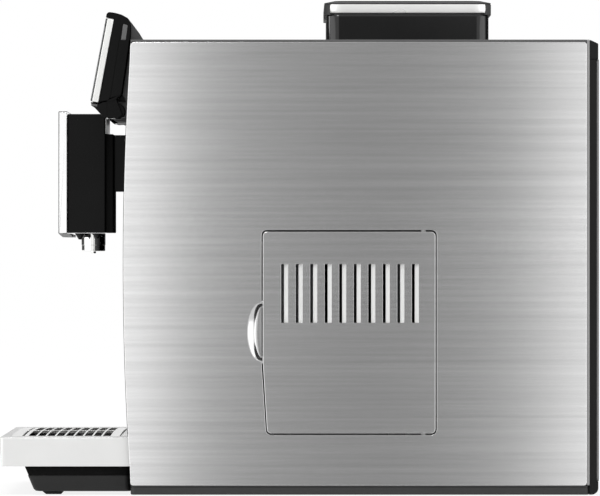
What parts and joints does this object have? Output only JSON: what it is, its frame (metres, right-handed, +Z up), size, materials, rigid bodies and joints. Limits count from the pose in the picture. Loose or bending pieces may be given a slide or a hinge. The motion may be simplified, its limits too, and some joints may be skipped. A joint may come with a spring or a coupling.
{
  "type": "bean to cup coffee machine",
  "caption": "Counter-top coffee machine with a leaning control console, height-adjustable spout, drip tray drawer, bean hopper, water tank and side service door.",
  "frame": {"origin": "middle of the footprint, on the surface that the machine stands on", "axes": "+Z up, front towards -Y, +X towards the user's right seen from the front's own side, where the service door is"},
  "size_m": [0.302, 0.45, 0.373],
  "materials": {
    "brushed_steel": "brushed stainless steel, grain front to back",
    "black_plastic": "fine moulded black plastic",
    "gloss_black": "piano black plastic",
    "dark_grey_plastic": "satin dark grey plastic",
    "light_grey_plastic": "satin light grey plastic",
    "silver_trim": "satin silver metallised plastic",
    "grille_steel": "satin stainless steel sheet",
    "chrome_trim": "chrome plated plastic",
    "sleeve_chrome": "polished chrome",
    "galvanised_steel": "galvanised sheet",
    "rubber": "moulded rubber",
    "console_glass": "black glass",
    "display": "dark display",
    "cast_alloy": "cast alloy",
    "hard_steel": "ground hardened steel",
    "circuit_board": "solder mask",
    "clear_tank": "clear moulded plastic"
  },
  "bodies": {
    "machine": {"right_side_panel": "brushed_steel", "left_side_panel": "brushed_steel", "right_chassis_wall": "black_plastic", "left_chassis_wall": "black_plastic", "back_panel": "black_plastic", "coffee_chute": "black_plastic", "brew_cylinder": "black_plastic", "brew_drive": "black_plastic", "tank_seat": "black_plastic", "mains_inlet": "black_plastic", "front_panel": "gloss_black", "hinge_pin_right": "gloss_black", "hinge_pin_left": "gloss_black", "hopper_bin": "gloss_black", "base_pan": "dark_grey_plastic", "top_cover": "dark_grey_plastic", "console_mount": "dark_grey_plastic", "finger_recess_cup": "light_grey_plastic", "chassis_deck": "galvanised_steel", "rear_frame": "galvanised_steel", "spout_rail": "galvanised_steel", "brew_frame": "galvanised_steel", "pump": "galvanised_steel", "grinder_motor": "galvanised_steel", "foot_front_right": "rubber", "foot_front_left": "rubber", "foot_rear_right": "rubber", "foot_rear_left": "rubber", "grinder_housing": "cast_alloy", "heater_block": "cast_alloy", "control_board": "circuit_board"},
    "console": {"console_housing": "gloss_black", "console_glass": "console_glass", "console_bezel": "chrome_trim", "console_display": "display"},
    "spout": {"spout_housing": "gloss_black", "spout_front_plate": "silver_trim", "spout_neck": "gloss_black", "centre_sleeve": "sleeve_chrome", "coffee_nozzle_right": "black_plastic", "coffee_nozzle_left": "black_plastic", "milk_nozzle_right": "black_plastic", "milk_nozzle_left": "black_plastic"},
    "drip_tray": {"tray_cover": "silver_trim", "tray_basin": "black_plastic", "tray_foot": "rubber", "grounds_container": "black_plastic", "drawer_front": "silver_trim"},
    "drip_grille": {"drip_grille": "grille_steel"},
    "hopper_lid": {"hopper_lid": "dark_grey_plastic", "lid_rim": "chrome_trim"},
    "grind_adjuster": {"grind_adjuster": "black_plastic"},
    "upper_burr": {"upper_burr": "hard_steel"},
    "lower_burr": {"lower_burr": "hard_steel"},
    "brew_piston": {"brew_piston": "black_plastic"},
    "service_door": {"door_skin": "brushed_steel", "door_inner_plate": "light_grey_plastic"},
    "water_tank": {"water_tank": "clear_tank"},
    "tank_lid": {"tank_lid": "dark_grey_plastic"},
    "power_switch": {"power_switch": "gloss_black"}
  },
  "joints": [
    {"name": "console_tilt", "type": "hinge", "parent": "machine", "child": "console", "pos_m": [0, -0.1366, 0.288], "axis": [1, 0, 0], "range_deg": [0, 10]},
    {"name": "spout_height", "type": "slide", "parent": "machine", "child": "spout", "axis": [0, 0, -1], "range_m": [0, 0.06]},
    {"name": "tray_drawer", "type": "slide", "parent": "machine", "child": "drip_tray", "axis": [0, -1, 0], "range_m": [0, 0.2]},
    {"name": "grille_lift", "type": "slide", "parent": "drip_tray", "child": "drip_grille", "axis": [0, 0, 1], "range_m": [0, 0.03]},
    {"name": "hopper_lid_lift", "type": "slide", "parent": "machine", "child": "hopper_lid", "axis": [0, 0, 1], "range_m": [0, 0.08]},
    {"name": "upper_burr_turn", "type": "hinge", "parent": "machine", "child": "upper_burr", "pos_m": [0, 0.082, 0.268], "axis": [0, 0, 1], "range_deg": [0, 54]},
    {"name": "grind_setting", "type": "hinge", "parent": "machine", "child": "grind_adjuster", "pos_m": [-0.045, 0.082, 0.3], "axis": [0, 0, -1], "range_deg": [0, 270]},
    {"name": "burr_spin", "type": "hinge", "parent": "machine", "child": "lower_burr", "pos_m": [0, 0.082, 0.25], "axis": [0, 0, 1], "continuous": true},
    {"name": "brew_stroke", "type": "slide", "parent": "machine", "child": "brew_piston", "axis": [0, 0, 1], "range_m": [0, 0.03]},
    {"name": "service_door_hinge", "type": "hinge", "parent": "machine", "child": "service_door", "pos_m": [0.1465, 0.0934, 0.12], "axis": [0, 0, 1], "range_deg": [0, 100]},
    {"name": "water_tank_lift", "type": "slide", "parent": "machine", "child": "water_tank", "axis": [0, 0, 1], "range_m": [0, 0.245]},
    {"name": "tank_lid_hinge", "type": "hinge", "parent": "water_tank", "child": "tank_lid", "pos_m": [-0.014, 0.2118, 0.3396], "axis": [-1, 0, 0], "range_deg": [0, 88]},
    {"name": "power_rocker", "type": "hinge", "parent": "machine", "child": "power_switch", "pos_m": [0.088, 0.2185, 0.042], "axis": [-1, 0, 0], "range_deg": [0, 16]}
  ],
  "couplings": [
    {"joint": "grind_setting", "follows": "upper_burr_turn", "ratio": 5}
  ]
}
